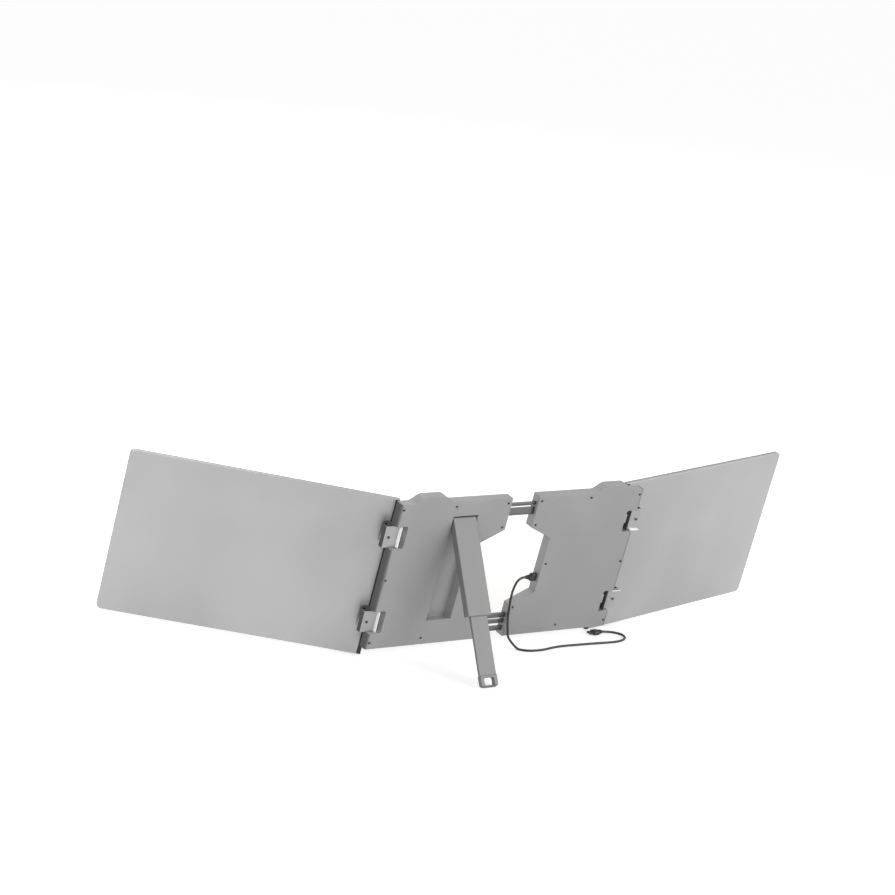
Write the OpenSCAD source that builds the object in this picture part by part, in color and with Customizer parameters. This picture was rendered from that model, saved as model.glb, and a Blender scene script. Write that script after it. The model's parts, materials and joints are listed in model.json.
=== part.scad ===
// Screen extender for a laptop: two hinged side screens on a centre frame whose halves slide apart.
// Lengths in millimetres, angles in degrees. Right and left are as seen from the front (screen side).
// Plate coordinates: X right, Y towards the back (0 on the frame's back face), Z up the plate.

/* [View] */
// Piece to draw, or all of them
// Facets on a full circle
$fn = 48; // [24:8:96]

/* [Pose at rest] */
// Lean of the frame from upright
lean = 9; // [5:1:20]
// Forward turn of the right screen
rightTurn = 30; // [0:1:60]
// Forward turn of the left screen
leftTurn = 10.5; // [0:0.5:60]
// Gap between the two halves of the frame
halfGap = 42; // [20:1:72]

/* [Frame] */
// Height of the frame
frameHeight = 194; // [160:0.5:220]
// Thickness of the frame
frameThick = 12.5; // [11:0.5:16]
// Distance from the middle to a half's outer edge
frameReach = 189; // [170:1:210]
// Radius along the frame's outer edges
edgeRound = 3; // [2:0.5:4]
// Wall thickness of the frame
wall = 1.5; // [1.2:0.1:2.5]
// Half width of the hexagonal opening
hexHalf = 55; // [45:1:60]
// Height of the opening at its straight sides
hexTall = 75.5; // [60:0.5:90]
// Height of the opening where it meets the gap
hexMouth = 107.5; // [90:0.5:120]
// Radius of a cover screw's head
screwHead = 1.8; // [1.4:0.1:2.4]
// Radius of a screw's shank
screwShank = 0.95; // [0.7:0.05:1.3]
// Height of the lowest cover screws above the bottom edge
screwInset = 8.6; // [6:0.2:12]
// Depth of the highest cover screws below the top edge
topScrewInset = 7.1; // [6.9:0.1:10]

/* [Rails] */
// Thickness of a rail
railThick = 3; // [2:0.5:4]
// Reach of the rails into the left half, from the middle
railLeft = 78; // [60:1:84]
// Reach of the rails into the right half, from the middle
railRight = 62; // [50:1:65]

/* [Screens] */
// Width of a screen
screenWide = 322; // [290:1:340]
// Height of a screen
screenTall = 209; // [180:1:230]
// Thickness of a screen
screenThick = 5.5; // [5:0.1:7]
// Drop of the right screen's lower edge below the frame
screenDrop = 16.5; // [5:0.5:25]
// Radius of a screen's outer corners
screenRound = 6; // [3:0.5:10]
// Radius of a screen's corners at the hinge
innerRound = 1.5; // [1:0.5:5]
// Bezel width at the top and the sides
bezelSide = 4.5; // [3:0.5:8]
// Bezel height at the bottom
bezelChin = 21; // [15:0.5:32]
// Gap from hinge axis to the screen's edge
axisGap = 3.5; // [3.2:0.1:5]

/* [Hinges] */
// Distance from a half's outer edge to its hinge axis
axisInset = 13.5; // [12:0.5:15]
// Depth of the right hinge axis in front of the frame's back face
rightAxisDepth = 17.25; // [17:0.25:20]
// Depth of the left hinge axis in front of the frame's back face
leftAxisDepth = 23.25; // [23:0.25:27]
// Depth of the upper hinges below the frame's top edge
upperInset = 44; // [36:0.5:52]
// Height of the lower hinges above the frame's bottom edge
lowerInset = 36.25; // [36:0.25:44]
// Height of a hinge bracket
bracketTall = 28; // [24:1:30]
// Radius of a knuckle
knuckle = 2.8; // [2.5:0.1:3]
// Radius of a hinge pin
hingePin = 1.25; // [1:0.05:1.5]

/* [Kickstand] */
// Distance from the middle to the leg's centre line
legCentre = 87.25; // [80:0.25:95]
// Width of the leg
legWide = 34.5; // [28:0.5:40]
// Thickness of the leg
legThick = 9.4; // [8:0.2:10]
// Length of the leg from its pivot
legLong = 118; // [100:1:120]
// Depth of the leg's pivot below the frame's top edge
pivotDrop = 26.5; // [24:0.5:36]
// Width of the extension bar
barWide = 25; // [18:1:28]
// Thickness of the extension bar
barThick = 3.6; // [3:0.2:4.4]
// Length from pivot to foot tip, bar drawn out
reach = 204; // [190:1:204]
// Thickness of the foot ring
footThick = 6; // [5:0.5:8]

/* [Bumps and clips] */
// Distance from a half's outer edge to the middle of its top bump
bumpInset = 47; // [40:1:60]
// Width of a bump at its base
bumpWide = 64; // [50:1:70]
// Height of a bump above the frame's top edge
bumpTall = 8.5; // [6:0.5:14]
// Height of a side clip
clipTall = 15; // [10:1:18]

/* [Cable] */
// Radius of the cable
cordRadius = 1.5; // [1.3:0.1:2]
// Depth of the port below the frame's mid height
portDrop = 19.25; // [10:0.25:26]
// Width of a plug's body
plugWide = 10.6; // [9:0.2:12.4]
// Thickness of a plug's body
plugThick = 5.8; // [5:0.1:6.4]

/* [Hidden] */
eps = 0.01;
half = halfGap / 2;
flatEnd = frameReach - edgeRound;
mid = frameHeight / 2;
hexSlopeZ = (hexMouth - hexTall) / 2;
upperHinge = frameHeight - upperInset;
lowerHinge = lowerInset;
axisReach = frameReach - axisInset;
bumpCentre = frameReach - bumpInset;
portHeight = mid - portDrop;
pivotHeight = frameHeight - pivotDrop;
hinges = [upperHinge, lowerHinge];
st = screenThick / 2;
lc = cos(lean);
ls = sin(lean);

// Lowest point of a screen along the upright, for its hinge depth, turn and drop
function lowPoint(depth, turn, drop) =
  (depth - st * cos(turn)) * ls + (axisGap + innerRound) * sin(turn) * ls
  + (innerRound - drop) * lc
  - innerRound * sqrt(pow(sin(turn) * ls, 2) + lc * lc);
rightLow = lowPoint(rightAxisDepth, rightTurn, screenDrop);
leftDrop = screenDrop + (lowPoint(leftAxisDepth, leftTurn, screenDrop) - rightLow) / lc;
lift = -rightLow;

// Leg: its angle puts the foot on the same ground as the screens
pivotDepth = 4.7;
footRound = footThick / 2;
pivotUp = pivotDepth * ls + pivotHeight * lc + lift;
legTilt = acos((pivotUp - footRound) / (reach - footRound));
legAngle = legTilt + lean;

// Middle of the part's box, brought to the origin
edge = axisGap + screenWide;
boxRight = axisReach + edge * cos(rightTurn) + st * sin(rightTurn);
boxLeft = -axisReach - edge * cos(leftTurn) - st * sin(leftTurn);
boxFront = (-rightAxisDepth - st * cos(rightTurn)) * lc
  - (edge - screenRound) * sin(rightTurn) * lc + (screenRound - screenDrop) * ls
  - screenRound * sqrt(pow(sin(rightTurn) * lc, 2) + ls * ls);
boxBack = -pivotDepth * lc + pivotHeight * ls + (reach - footRound) * sin(legTilt) + footRound;
shift = [-(boxRight + boxLeft) / 2, -(boxFront + boxBack) / 2, lift];

silver = [0.72, 0.72, 0.73];
plateGrey = [0.62, 0.62, 0.63];
steel = [0.55, 0.55, 0.56];
dark = [0.12, 0.12, 0.13];
board = [0.1, 0.3, 0.18];
glow = [0.15, 0.45, 0.62];

module plate() {
  translate(shift) rotate([-lean, 0, 0]) children();
}

module flip() {
  mirror([1, 0, 0]) children();
}

// A flat shape drawn in X and Z, filled from depth a to depth b
module deep(a, b) {
  translate([0, b, 0]) rotate([90, 0, 0]) linear_extrude(b - a) children();
}

// A box between two corners
module span(a, b) {
  translate(a) cube(b - a);
}

module roundPlate(x0, x1, z0, z1, r) {
  translate([x0 + r, z0]) square([x1 - x0 - 2 * r, z1 - z0]);
  translate([x0, z0 + r]) square([x1 - x0, z1 - z0 - 2 * r]);
  for (x = [x0 + r, x1 - r], z = [z0 + r, z1 - r]) translate([x, z]) circle(r);
}

// A plate with one radius at its hinge-side corners and another at its outer ones
module screenPlate(x0, x1, z0, z1, ri, ro) {
  translate([x0 + ri, z0]) square([x1 - x0 - ri - ro, z1 - z0]);
  translate([x0, z0 + ri]) square([ri + 1, z1 - z0 - 2 * ri]);
  translate([x1 - ro - 1, z0 + ro]) square([ro + 1, z1 - z0 - 2 * ro]);
  for (z = [z0 + ri, z1 - ri]) translate([x0 + ri, z]) circle(ri);
  for (z = [z0 + ro, z1 - ro]) translate([x1 - ro, z]) circle(ro);
}

module rodY(x, z, r, a, b) {
  translate([x, b, z]) rotate([90, 0, 0]) cylinder(r = r, h = b - a);
}

/* ---- frame halves, drawn for the right side ---- */
wellOut = axisReach - 0.5;
wellIn = wellOut - 18;
wellHalf = clipTall / 2 + 0.7;
clipX = wellOut - 3.2;
clipY = -10.2;
clipPin = 0.9;
clipSpots = [upperHinge - 28.25, lowerHinge - 24.65];
flank = 19;
flankSteps = 10;
bumpSlots = [-9, 0, 9];
pocket = [legCentre - legWide / 2 - 1.5, legCentre + legWide / 2 + 1.5];
pocketZ = [pivotHeight - legLong - 17.3, pivotHeight + 6.5];
notchIn = axisReach - 4.5;
slotIn = axisReach - 3.2;
notchHalf = bracketTall / 2 + 0.8;
slotHalf = bracketTall / 2 - 0.9;
ledge = -6;
railY = [-4.6 - railThick, -4.6];
band = mid - hexMouth / 2;
squeeze = (band - 15.25) / 28;
topRailZ = [for (s = [[26.5, 17], [14, 10]]) [for (d = s) frameHeight - 10 - (d - 10) * squeeze]];
lowRailZ = [for (s = [[24.2, 30.2], [16.4, 21.4], [6, 12]]) s * band / 43.25];
blockEdge = 1.6;
guideLong = 16.8;
padFrom = hexHalf + 11;
padTo = frameReach - 39;
padLow = 34;
padTall = 12;
padHigh = frameHeight - 52.75;
railZ = [topRailZ[0], topRailZ[1], lowRailZ[0], lowRailZ[1], lowRailZ[2]];

module hexShape(grow) {
  reachX = hexHalf + grow;
  dz = hexSlopeZ;
  polygon([
    [half - 4, mid - hexMouth / 2 - grow], [half, mid - hexMouth / 2 - grow],
    [reachX, mid - hexTall / 2 - grow / 2], [reachX, mid + hexTall / 2 + grow / 2],
    [half, mid + hexMouth / 2 + grow], [half - 4, mid + hexMouth / 2 + grow]
  ]);
}

// Outline of a bump, drawn inwards by inset, with smooth flanks
function flankLine(inset) = [
  for (i = [0:flankSteps]) [
    -bumpWide / 2 + inset + flank * i / flankSteps,
    frameHeight - inset + bumpTall * (1 - cos(180 * i / flankSteps)) / 2
  ]
];

module bumpShape(inset) {
  line = flankLine(inset);
  last = len(line) - 1;
  low = frameHeight - inset - 2;
  translate([bumpCentre, 0]) polygon(concat(
    [[line[0][0], low]], line, [for (i = [last:-1:0]) [-line[i][0], line[i][1]]], [[-line[0][0], low]]
  ));
}

module stadium(x, z, long, r) {
  for (s = [-1, 1]) translate([x + s * (long / 2 - r), z]) circle(r);
  translate([x - long / 2 + r, z - r]) square([long - 2 * r, 2 * r]);
}

mouthScrew = hexMouth / 2 + 3.55;
screwEdge = flatEnd - 2.1;
function spots(side) = [
  for (s = [
    [screwEdge, frameHeight - topScrewInset], [105, frameHeight - topScrewInset],
    [half + 5, frameHeight - topScrewInset], [half + 5.4, mid + mouthScrew], [half + 5.4, mid - mouthScrew],
    [screwEdge, mid - 4], [hexHalf + 5.6, mid + 0.8], [105 + side * 2, screwInset],
    [screwEdge, screwInset]
  ]) s
];

module outerBody(front, back) {
  span([half, front, 0], [flatEnd, back, frameHeight]);
}

module notches() {
  for (h = hinges) {
    deep(ledge, 1) roundPlate(notchIn, frameReach + 8, h - notchHalf, h + notchHalf, 3);
  }
}

module neckSlots() {
  for (h = hinges) {
    span([slotIn, -frameThick - 1, h - slotHalf], [frameReach + 1, 1, h + slotHalf]);
  }
}

module clipWells() {
  for (c = clipSpots) {
    span([wellIn, -frameThick - 1, c - wellHalf], [wellOut, -4.6, c + wellHalf]);
  }
}

module trayHalf(withLeg, side) {
  difference() {
    union() {
      difference() {
        union() {
          outerBody(-frameThick, -wall);
          deep(-frameThick, -wall) bumpShape(0);
          for (y = [-edgeRound, edgeRound - frameThick]) {
            translate([flatEnd, y, 0]) cylinder(r = edgeRound, h = frameHeight);
          }
          span([flatEnd - 1, edgeRound - frameThick, 0], [frameReach, -edgeRound, frameHeight]);
        }
        difference() {
          union() {
            span([half + wall, -frameThick + wall, wall], [flatEnd - wall, 1, frameHeight - wall]);
            deep(-frameThick + wall, 1) bumpShape(wall);
          }
          deep(-frameThick, 0) hexShape(wall);
          if (withLeg) {
            span([pocket[0] - wall, -frameThick, pocketZ[0] - wall],
              [pocket[1] + wall, 0, pocketZ[1] + wall]);
          }
          for (h = hinges) {
            span([notchIn - wall, -frameThick, h - notchHalf - wall],
              [frameReach, 0, h + notchHalf + wall]);
          }
          for (c = clipSpots) {
            span([wellIn - wall, -frameThick, c - wellHalf - wall],
              [wellOut + wall, -3.2, c + wellHalf + wall]);
          }
          for (s = spots(side)) rodY(s[0], s[1], 2.3, -frameThick, 0);
        }
        span([flatEnd - edgeRound - 1, -wall, -1], [flatEnd, 1, frameHeight + 1]);
      }
    }
    deep(-frameThick - 1, 1) hexShape(0);
    if (withLeg) {
      span([pocket[0], -10, pocketZ[0]], [pocket[1], 1, pocketZ[1]]);
      translate([pocket[0] - 4, -pivotDepth, pivotHeight]) rotate([0, 90, 0])
        cylinder(r = 1.5, h = pocket[1] - pocket[0] + 8);
    }
    notches();
    neckSlots();
    clipWells();
    for (c = clipSpots) {
      translate([clipX, clipY, c - wellHalf - 1.3]) cylinder(r = clipPin, h = 2 * wellHalf + 2.6);
    }
    for (s = spots(side)) rodY(s[0], s[1], screwShank, -7.5, 0);
    for (x = bumpSlots) {
      deep(-frameThick - 1, -frameThick + wall + 1)
        stadium(bumpCentre + x, frameHeight + bumpTall - 4.2, 6.4, 1.3);
    }
    for (r = railZ) {
      span([half - 1, railY[0] - 0.3, r[0] - 0.3], [half + wall + 1, railY[1] + 0.3, r[1] + 0.3]);
    }
  }
}

module backHalf(withLeg, side) {
  difference() {
    union() {
      outerBody(-wall, 0);
      deep(-wall, 0) bumpShape(0);
    }
    deep(-wall - 1, 1) hexShape(0);
    if (withLeg) span([pocket[0], -10, pocketZ[0]], [pocket[1], 1, pocketZ[1]]);
    notches();
    for (s = spots(side)) {
      rodY(s[0], s[1], screwShank + 0.05, -wall - 1, 1);
      rodY(s[0], s[1], screwHead + 0.05, -0.8, 1);
    }
  }
}

module padsHalf() {
  for (z = [padLow, padHigh]) {
    deep(-frameThick - 1, -frameThick) roundPlate(padFrom, padTo, z, z + padTall, padTall / 3);
  }
}

module screwsHalf(side) {
  for (s = spots(side)) {
    rodY(s[0], s[1], screwShank, -7.5, -0.8 + eps);
    difference() {
      rodY(s[0], s[1], screwHead, -0.8, -0.15);
      for (a = [0, 90]) {
        translate([s[0], -0.3, s[1]]) rotate([0, a, 0]) cube([2 * screwHead - 0.9, 0.7, 0.5], center = true);
      }
    }
  }
}

module bracket(depth, h, lip) {
  x0 = axisReach + 3;
  x1 = x0 + 21;
  t = 1.2;
  z = bracketTall / 2;
  neck = knuckle;
  armHalf = 0.7;
  hold = x1 - 6;
  difference() {
    union() {
      span([x0, ledge, h - z], [x1, ledge + t, h + z]);
      span([x0, ledge, h - z], [x0 + t, -0.6, h + z]);
      span([x1 - t, -frameThick + 0.9, h - z], [x1, ledge + eps, h + z]);
      if (lip != 0) {
        end = h + lip * (z - t / 2);
        span([frameReach - 3.5, ledge, end - t / 2], [x1, -0.6, end + t / 2]);
      }
      for (s = [h - z + 1.4, h + 6.2]) {
        translate([0, 0, s]) linear_extrude(z - 7.6) polygon([
          [axisReach - neck, -depth], [axisReach + neck, -depth], [axisReach + neck, -frameThick - armHalf],
          [x0 + t, -frameThick - armHalf], [x0 + t, ledge + eps], [x0, ledge + eps],
          [x0, -frameThick + armHalf], [axisReach - neck, -frameThick + armHalf]
        ]);
        translate([axisReach, -depth, s]) cylinder(r = knuckle, h = z - 7.6);
      }
    }
    translate([axisReach, -depth, h - z - 1]) cylinder(r = hingePin, h = 2 * z + 2);
    rodY(hold, h, 1.1, ledge - 1, 0);
  }
  rodY(hold, h, 1.1, ledge, ledge + t);
  rodY(hold, h, 1.9, ledge + t, ledge + t + 0.6);
}

module hingePins(depth) {
  for (h = hinges) {
    translate([axisReach, -depth, h - bracketTall / 2 + 1.4]) cylinder(r = hingePin, h = bracketTall - 2.8);
  }
}

module clipPins() {
  for (c = clipSpots) {
    translate([clipX, clipY, c - wellHalf - 1.3]) cylinder(r = clipPin, h = 2 * wellHalf + 2.6);
  }
}

module guideBlocks(slack, x0, x1) {
  difference() {
    union() {
      span([x0, -frameThick + wall, topRailZ[0][0] - blockEdge], [x1, -wall, topRailZ[1][1] + 0.5]);
      span([x0, -frameThick + wall, lowRailZ[2][0] - blockEdge], [x1, -wall, lowRailZ[0][1] + blockEdge]);
    }
    for (r = railZ) {
      span([x0 - 1, railY[0] - slack, r[0] - slack], [x1 + 1, railY[1] + slack, r[1] + slack]);
    }
  }
}

module rails(list) {
  for (r = list) {
    difference() {
      span([-railLeft, railY[0], r[0]], [railRight, railY[1], r[1]]);
      span([-railLeft - 1, railY[1] - 0.6, r[0] + 1.2], [railRight + 1, railY[1] + 1, r[1] - 1.2]);
    }
  }
}

/* ---- screens, drawn from the hinge axis outwards ---- */
module atScreen(depth, turn, drop) {
  translate([axisReach, -depth, -drop]) rotate([0, 0, -turn]) children();
}

leafLong = 17;
leafThick = 0.8;
leafHalf = 13;
function leafSpots(drop) = [for (h = hinges, s = [-8.5, 8.5]) [axisGap + 9, h + drop + s]];

module screenCover(drop) {
  x0 = axisGap;
  x1 = edge;
  rim = 1.2;
  difference() {
    union() {
      difference() {
        deep(-st + 1, st) screenPlate(x0, x1, 0, screenTall, innerRound, screenRound);
        deep(-st, st - 1)
          screenPlate(x0 + rim, x1 - rim, rim, screenTall - rim, innerRound - 0.5, screenRound - rim);
      }
      for (h = hinges) {
        span([x0 + 0.5, 0.75, h + drop - leafHalf - 1.5],
          [axisGap + leafLong - 1, st - 0.5, h + drop + leafHalf + 1.5]);
      }
    }
    for (h = hinges) {
      span([x0 - 1, st - leafThick, h + drop - leafHalf - 0.15],
        [leafLong + 0.15, st + 1, h + drop + leafHalf + 0.15]);
    }
    for (s = leafSpots(drop)) rodY(s[0], s[1], 0.8, 0.9, st);
    span([x1 - 34, -0.6, -1], [x1 - 22, 1.2, rim + 1]);
  }
}

module screenBezel() {
  x0 = axisGap;
  deep(-st, -st + 1) difference() {
    screenPlate(x0, edge, 0, screenTall, innerRound, screenRound);
    roundPlate(x0 + bezelSide, edge - bezelSide, bezelChin, screenTall - bezelSide, 1.5);
  }
}

module screenDisplay() {
  deep(-st + 1, -st + 1.75)
    roundPlate(axisGap + 1.4, edge - 1.4, bezelChin - 9, screenTall - 1.4, screenRound - 1.2);
}

module screenBacklight() {
  deep(-st + 1.75, 0.5)
    roundPlate(axisGap + bezelSide, edge - bezelSide, bezelChin, screenTall - bezelSide, 1);
}

module screenDriver() {
  from = axisGap + 56.5;
  to = edge - 55.5;
  pitch = (to - from) / 5;
  union() {
    span([from, -st + 1.75, 3], [to, -st + 2.75, bezelChin - 4]);
    for (k = [1:4]) {
      span([from + pitch * k - 22, -st + 2.75 - eps, 6], [from + pitch * k - 8, -st + 3.75, bezelChin - 7]);
    }
  }
}

module leaf(drop, h) {
  z = h + drop;
  difference() {
    union() {
      translate([0, 0, z - 6]) cylinder(r = knuckle, h = 12);
      span([0, st - leafThick, z - 6], [axisGap + 1, st, z + 6]);
      deep(st - leafThick, st) translate([0, z]) union() {
        translate([axisGap, -leafHalf]) square([leafLong - axisGap - 3, 2 * leafHalf]);
        translate([axisGap, -leafHalf + 3]) square([leafLong - axisGap, 2 * leafHalf - 6]);
        for (s = [-1, 1]) translate([leafLong - 3, s * (leafHalf - 3)]) circle(3);
      }
    }
    translate([0, 0, z - 7]) cylinder(r = hingePin + 0.05, h = 14);
    for (s = [-8.5, 8.5]) {
      rodY(axisGap + 9, z + s, 0.85, st - 2, st + 1);
      rodY(axisGap + 9, z + s, 1.55, st - 0.4, st + 1);
    }
  }
}

module leafScrews(drop) {
  for (s = leafSpots(drop)) {
    rodY(s[0], s[1], 0.8, 0.95, st - 0.4 + eps);
    rodY(s[0], s[1], 1.5, st - 0.4, st);
  }
}

/* ---- side clip, drawn for the right side ---- */
module sideClip(c) {
  arm = 13.3;
  t = 2;
  difference() {
    translate([clipX, clipY, c - clipTall / 2]) union() {
      cylinder(r = t, h = clipTall);
      span([-arm, -t, 0], [0, 0, clipTall]);
      span([-arm, -t, 0], [-arm + 1.8, 4.6, clipTall]);
    }
    translate([clipX, clipY, c - clipTall]) cylinder(r = clipPin + 0.05, h = 2 * clipTall);
  }
}

/* ---- kickstand ---- */
module atLeg() {
  translate([legCentre, -pivotDepth, pivotHeight]) rotate([legAngle, 0, 0]) children();
}

slotStart = 18.5;
footLong = 14.5;
module leg() color(plateGrey) plate() atLeg() {
  difference() {
    union() {
      translate([-legWide / 2, 0, 0]) rotate([0, 90, 0]) cylinder(r = legThick / 2, h = legWide);
      span([-legWide / 2, -legThick / 2, -legLong], [legWide / 2, legThick / 2, 0]);
    }
    span([-barWide / 2 - 0.2, -barThick / 2 - 0.2, -legLong - 1],
      [barWide / 2 + 0.2, barThick / 2 + 0.2, -slotStart]);
    translate([-legWide, 0, 0]) rotate([0, 90, 0]) cylinder(r = 1.55, h = 2 * legWide);
  }
}

module leg_bar() color(silver) plate() atLeg() {
  head = reach - footLong;
  difference() {
    union() {
      span([-barWide / 2, -barThick / 2, -head - 1], [barWide / 2, barThick / 2, -90]);
      intersection() {
        union() {
          span([-barWide / 2, -footRound, -reach + footRound], [barWide / 2, footRound, -head]);
          translate([-barWide / 2, 0, -reach + footRound]) rotate([0, 90, 0])
            cylinder(r = footRound, h = barWide);
        }
        deep(-footThick, footThick)
          roundPlate(-barWide / 2, barWide / 2, -reach, -head + 8, 5);
      }
    }
    deep(-footThick, footThick) roundPlate(-7.5, 7.5, -reach + 2.7, -reach + 11.9, 2.5);
  }
}

module leg_pin() color(steel) plate() {
  translate([pocket[0] - 3.8, -pivotDepth, pivotHeight]) rotate([0, 90, 0])
    cylinder(r = 1.5, h = pocket[1] - pocket[0] + 7.6);
}

/* ---- left half ---- */
module left_tray() color(plateGrey) plate() flip() difference() {
  trayHalf(false, 0);
  span([hexHalf - 1, -8.0, portHeight - 4.7], [hexHalf + wall + 1, -4.4, portHeight + 4.7]);
}
module left_back() color(plateGrey) plate() flip() backHalf(false, 0);
module left_pads() color(dark) plate() flip() padsHalf();
module left_screws() color(dark) plate() flip() screwsHalf(0);
module left_guides() color(dark) plate() flip() guideBlocks(0.15, half + wall + 0.2, half + wall + guideLong);
module left_bracket_upper() color(silver) plate() flip() bracket(leftAxisDepth, upperHinge, -1);
module left_bracket_lower() color(silver) plate() flip() bracket(leftAxisDepth, lowerHinge, 1);
module left_hinge_pins() color(steel) plate() flip() hingePins(leftAxisDepth);
module left_clip_pins() color(steel) plate() flip() clipPins();
module left_board() color(board) plate() flip() {
  from = hexHalf + 2.6;
  to = from + 54.4;
  low = portHeight - 18.5;
  high = portHeight + 15.5;
  span([from, -9.03, low], [to, -7.83, high]);
  for (x = [from + 16.4, from + 32.4]) span([x, -7.84, low + 8], [x + 9, -6.6, high - 12]);
  for (x = [from + 16.4, to - 6], z = [low + 4, high - 4]) rodY(x, z, 2, -frameThick + wall, -9.02);
}
module port_shell() color(steel) plate() flip() difference() {
  span([hexHalf + wall + 0.1, -7.83, portHeight - 4.47], [hexHalf + 9.5, -4.57, portHeight + 4.47]);
  span([hexHalf, -7.53, portHeight - 4.17], [hexHalf + 9.2, -4.87, portHeight + 4.17]);
}

/* ---- right half ---- */
module right_tray() color(plateGrey) plate() trayHalf(true, 1);
module right_back() color(plateGrey) plate() backHalf(true, 1);
module right_pads() color(dark) plate() padsHalf();
module right_screws() color(dark) plate() screwsHalf(1);
module right_rail_mounts() color(dark) plate() guideBlocks(0, half + wall + 0.2, half + wall + guideLong);
module top_rails() color(silver) plate() rails(topRailZ);
module bottom_rails() color(silver) plate() rails(lowRailZ);
module right_board() color(board) plate() {
  from = pocket[1] + 6;
  to = notchIn - 19;
  low = mid - 37.75;
  high = mid + 6.25;
  span([from, -9.03, low], [to, -7.83, high]);
  for (z = [low + 6, low + 24]) span([from + 10, -7.84, z], [from + 22, -6.6, z + 10]);
  for (x = [from + 4, to - 4], z = [low + 4, high - 4]) rodY(x, z, 2, -frameThick + wall, -9.02);
}
module right_bracket_upper() color(silver) plate() bracket(rightAxisDepth, upperHinge, 0);
module right_bracket_lower() color(silver) plate() bracket(rightAxisDepth, lowerHinge, 0);
module right_hinge_pins() color(steel) plate() hingePins(rightAxisDepth);
module right_clip_pins() color(steel) plate() clipPins();

/* ---- screens ---- */
module atRight() {
  plate() atScreen(rightAxisDepth, rightTurn, screenDrop) children();
}
module atLeft() {
  plate() flip() atScreen(leftAxisDepth, leftTurn, leftDrop) children();
}
module right_cover() color(silver) atRight() screenCover(screenDrop);
module right_bezel() color(silver) atRight() screenBezel();
module right_display() color(glow) atRight() screenDisplay();
module right_backlight() color(steel) atRight() screenBacklight();
module right_driver() color(board) atRight() screenDriver();
module right_leaf_upper() color(steel) atRight() leaf(screenDrop, upperHinge);
module right_leaf_lower() color(steel) atRight() leaf(screenDrop, lowerHinge);
module right_leaf_screws() color(dark) atRight() leafScrews(screenDrop);
module left_cover() color(silver) atLeft() screenCover(leftDrop);
module left_bezel() color(silver) atLeft() screenBezel();
module left_display() color(glow) atLeft() screenDisplay();
module left_backlight() color(steel) atLeft() screenBacklight();
module left_driver() color(board) atLeft() screenDriver();
module left_leaf_upper() color(steel) atLeft() leaf(leftDrop, upperHinge);
module left_leaf_lower() color(steel) atLeft() leaf(leftDrop, lowerHinge);
module left_leaf_screws() color(dark) atLeft() leafScrews(leftDrop);

/* ---- clips ---- */
module right_clip_upper() color(silver) plate() sideClip(clipSpots[0]);
module right_clip_lower() color(silver) plate() sideClip(clipSpots[1]);
module left_clip_upper() color(silver) plate() flip() sideClip(clipSpots[0]);
module left_clip_lower() color(silver) plate() flip() sideClip(clipSpots[1]);

/* ---- cable ---- */
// Plate coordinates to the row's own
function row(p) = [
  p[0] + shift[0], p[1] * lc + p[2] * ls + shift[1], -p[1] * ls + p[2] * lc + shift[2]
];
function ground(x, y, up) = [x + shift[0], y + shift[1], cordRadius + up];
plugLong = 8;
relief = 7.4;
tongue = 6.6;
plugEnd = hexHalf - 0.3 - plugLong - relief;
rise = plugThick / 2 - cordRadius;
cordPath = concat(
  [for (p = [[-plugEnd, -6.2, 1], [-34, -6.1, 0.9962], [-27, -5, 0.949], [-21, -2, 0.828],
    [-17.8, 1.5, 0.6879], [-17.6, 3.6, 0.535], [-19.5, 4, 0.3567], [-24, 4.2, 0.1529],
    [-29, 5.5, -0.0127]]) row([p[0], p[1], p[2] * portHeight])],
  [for (g = [[-36, 18, 0], [-46, 26, 0], [-66, 28, 0], [-100, 23, 0], [-150, 25, 0], [-190, 27, 0],
    [-210, 19, 0], [-215, 6, 0], [-208, -4, 0], [-199, -6.5, rise * 0.4],
    [-192, -6.5, rise]])
    ground(g[0], g[1], g[2])]
);
spanSteps = 4;
sides = 10;
function clampIndex(i) = max(0, min(len(cordPath) - 1, i));
function knot(i) = cordPath[clampIndex(i)];
function curve(a, b, c, d, t) = 0.5 * ((2 * b) + (c - a) * t + (2 * a - 5 * b + 4 * c - d) * t * t
  + (3 * b - a - 3 * c + d) * t * t * t);
centres = [
  for (i = [0:len(cordPath) - 2], k = [0:spanSteps - 1])
    curve(knot(i - 1), knot(i), knot(i + 1), knot(i + 2), k / spanSteps),
  cordPath[len(cordPath) - 1]
];
function unit(v) = v / norm(v);
function heading(i) = unit(centres[min(i + 1, len(centres) - 1)] - centres[max(i - 1, 0)]);
function settle(n, h) = unit(n - (n * h) * h);
function normals(i, n) = i == len(centres) ? [] : concat([settle(n, heading(i))],
  normals(i + 1, settle(n, heading(i))));
frames = normals(0, [0, 1, 0.1]);
ringPoints = [
  for (i = [0:len(centres) - 1], k = [0:sides - 1])
    let (h = heading(i), n = frames[i], b = cross(h, n), a = 360 * k / sides)
    centres[i] + cordRadius * (cos(a) * n + sin(a) * b)
];
module cord() color(dark) {
  rings = len(centres);
  polyhedron(
    points = ringPoints,
    faces = concat(
      [[for (k = [0:sides - 1]) k]],
      [for (i = [0:rings - 2], k = [0:sides - 1]) [
        i * sides + k, (i + 1) * sides + k, (i + 1) * sides + (k + 1) % sides, i * sides + (k + 1) % sides
      ]],
      [[for (k = [sides - 1:-1:0]) (rings - 1) * sides + k]]
    )
  );
}
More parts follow.
